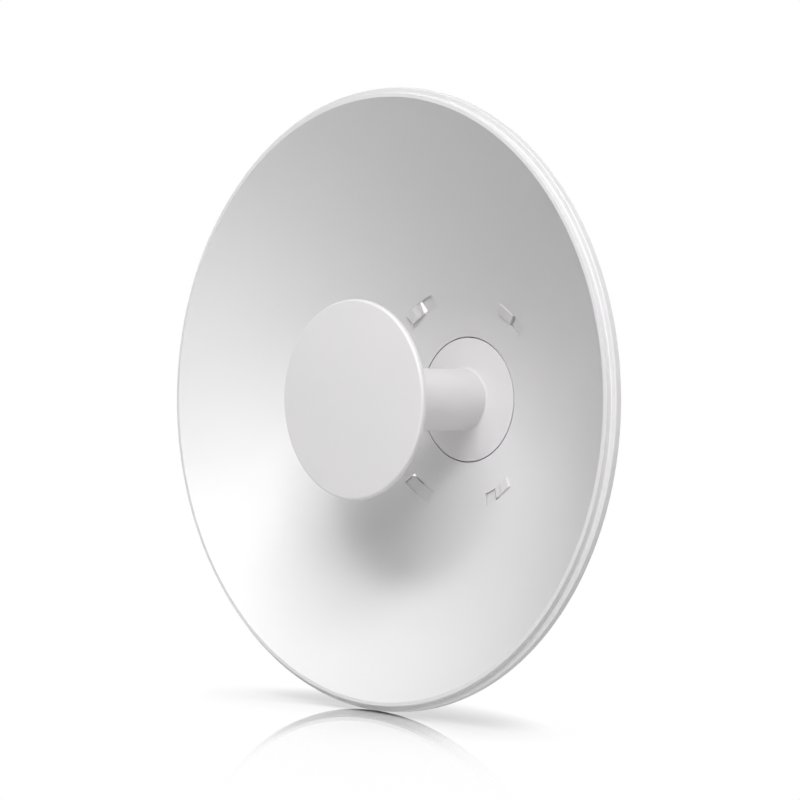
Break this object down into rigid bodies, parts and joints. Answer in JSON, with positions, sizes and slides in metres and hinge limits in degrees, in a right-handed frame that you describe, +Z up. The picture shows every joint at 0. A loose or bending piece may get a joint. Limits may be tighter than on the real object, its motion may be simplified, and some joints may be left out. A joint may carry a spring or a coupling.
{
  "type": "parabolic dish antenna",
  "caption": "Round white parabolic dish antenna with a stepped rim, a central feed tube carrying a flat feed disc, and a steel pole clamp behind.",
  "frame": {"origin": "centre of the pole bracket's web, on its rear face, on the dish's axis", "axes": "the dish looks along -Y, so +Y points out of the bracket's rear face to the pole; +Z is up and +X is to the right seen from in front"},
  "size_m": [0.42, 0.2312, 0.42],
  "materials": {
    "white_paint": "satin",
    "white_plastic": "satin",
    "housing_plastic": "matte",
    "galvanised": "satin",
    "stainless": "satin",
    "rubber_grey": "matte"
  },
  "bodies": {
    "root": {"reflector": "white_paint", "feed_base": "white_plastic", "feed_tube": "white_plastic", "feed_disc": "white_plastic", "feed_disc_back": "white_plastic", "rear_housing": "housing_plastic", "port_cover": "housing_plastic", "cable_grommet": "rubber_grey", "pole_bracket": "galvanised", "clamp_jaw": "galvanised", "clamp_bolt_left": "stainless", "clamp_nut_left": "stainless", "pivot_bolt_left": "stainless", "lock_bolt_left": "stainless", "pivot_bolt_left_washer": "stainless", "lock_bolt_left_washer": "stainless", "clamp_bolt_right": "stainless", "clamp_nut_right": "stainless", "pivot_bolt_right": "stainless", "lock_bolt_right": "stainless", "pivot_bolt_right_washer": "stainless", "lock_bolt_right_washer": "stainless"}
  },
  "joints": []
}
